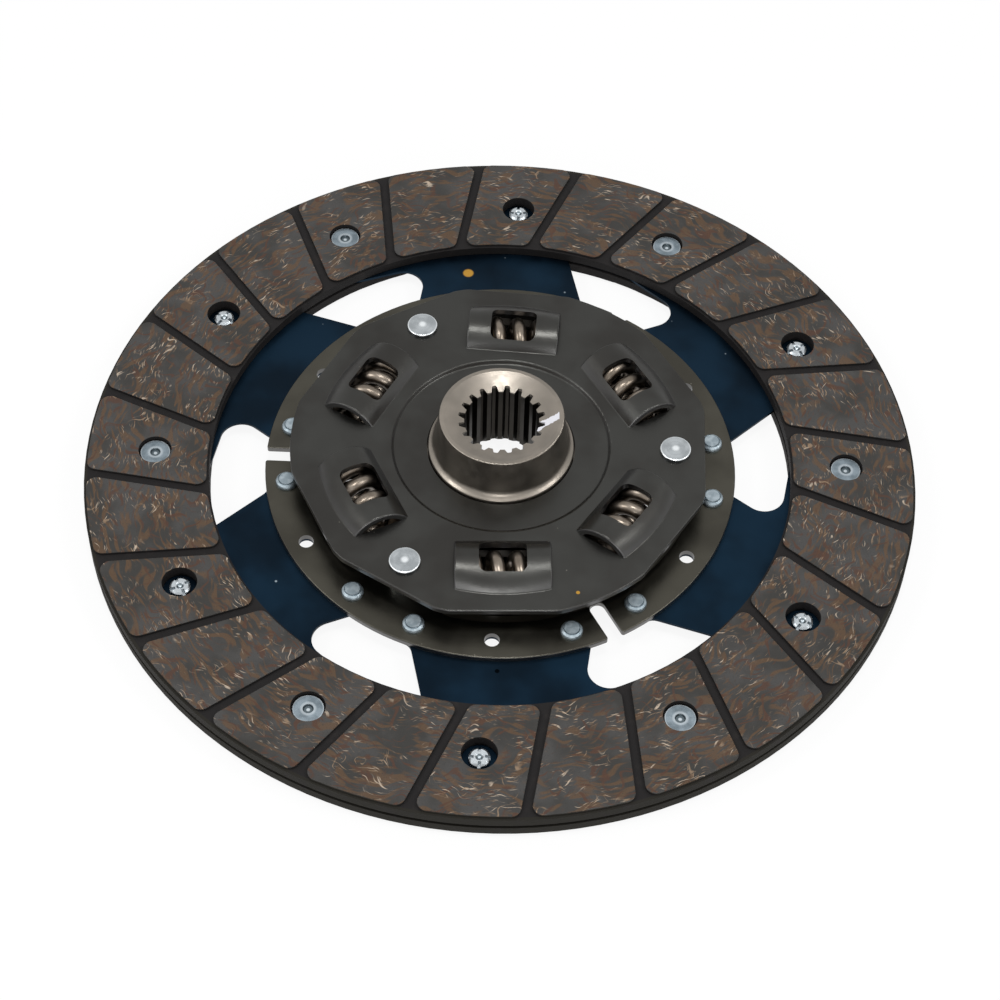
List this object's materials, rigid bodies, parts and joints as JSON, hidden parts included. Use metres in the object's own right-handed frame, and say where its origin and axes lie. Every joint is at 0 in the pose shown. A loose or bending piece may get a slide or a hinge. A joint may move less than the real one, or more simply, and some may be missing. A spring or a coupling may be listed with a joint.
{
  "type": "clutch disc",
  "caption": "Clutch disc with grooved friction facings on separate cushion blades, a domed retainer plate over sprung windows, and a splined hub that turns against its damper springs.",
  "frame": {"origin": "on the spline axis, in the middle plane between the two friction facings", "axes": "+Z along the spline axis towards the retainer plate and the long end of the hub, +X through the first stop pin"},
  "size_m": [0.2, 0.2, 0.0235],
  "materials": {
    "friction_lining": "moulded organic friction lining with short brass and glass strands",
    "blued_spring_steel": "blued spring steel with an oil film",
    "zinc_plated_rivet": "dull bright zinc",
    "oiled_steel_rivet": "plain steel, stamped",
    "phosphated_plate": "dark phosphated pressed steel, satin",
    "peened_pin_steel": "plain steel with a peened head",
    "oil_tempered_wire": "oil-tempered spring steel",
    "turned_hub_steel": "carbonitrided steel, satin",
    "friction_washer": "filled plastic"
  },
  "bodies": {
    "plates": {"upper_facing": "friction_lining", "lower_facing": "friction_lining", "cushion_segment_1": "blued_spring_steel", "cushion_segment_2": "blued_spring_steel", "cushion_segment_3": "blued_spring_steel", "cushion_segment_4": "blued_spring_steel", "cushion_segment_5": "blued_spring_steel", "cushion_segment_6": "blued_spring_steel", "upper_facing_rivets": "zinc_plated_rivet", "lower_facing_rivets": "zinc_plated_rivet", "cushion_rivets": "oiled_steel_rivet", "disc_plate": "phosphated_plate", "retainer_plate": "phosphated_plate", "stop_pin_1": "peened_pin_steel", "stop_pin_2": "peened_pin_steel", "stop_pin_3": "peened_pin_steel", "torsion_spring_1": "oil_tempered_wire", "torsion_spring_2": "oil_tempered_wire", "torsion_spring_3": "oil_tempered_wire", "torsion_spring_4": "oil_tempered_wire", "torsion_spring_5": "oil_tempered_wire", "torsion_spring_6": "oil_tempered_wire", "lower_friction_washer": "friction_washer", "upper_friction_washer": "friction_washer", "centring_bush": "friction_washer", "disc_spring": "oil_tempered_wire"},
    "hub": {"hub": "turned_hub_steel"}
  },
  "joints": [
    {"name": "damper_twist", "type": "hinge", "parent": "plates", "child": "hub", "pos_m": [0, 0, 0.0042], "axis": [0, 0, 1], "range_deg": [-7, 7], "stiffness_Nm_per_rad": 900, "deforming": ["torsion_spring_1", "torsion_spring_2", "torsion_spring_3", "torsion_spring_4", "torsion_spring_5", "torsion_spring_6"]}
  ]
}
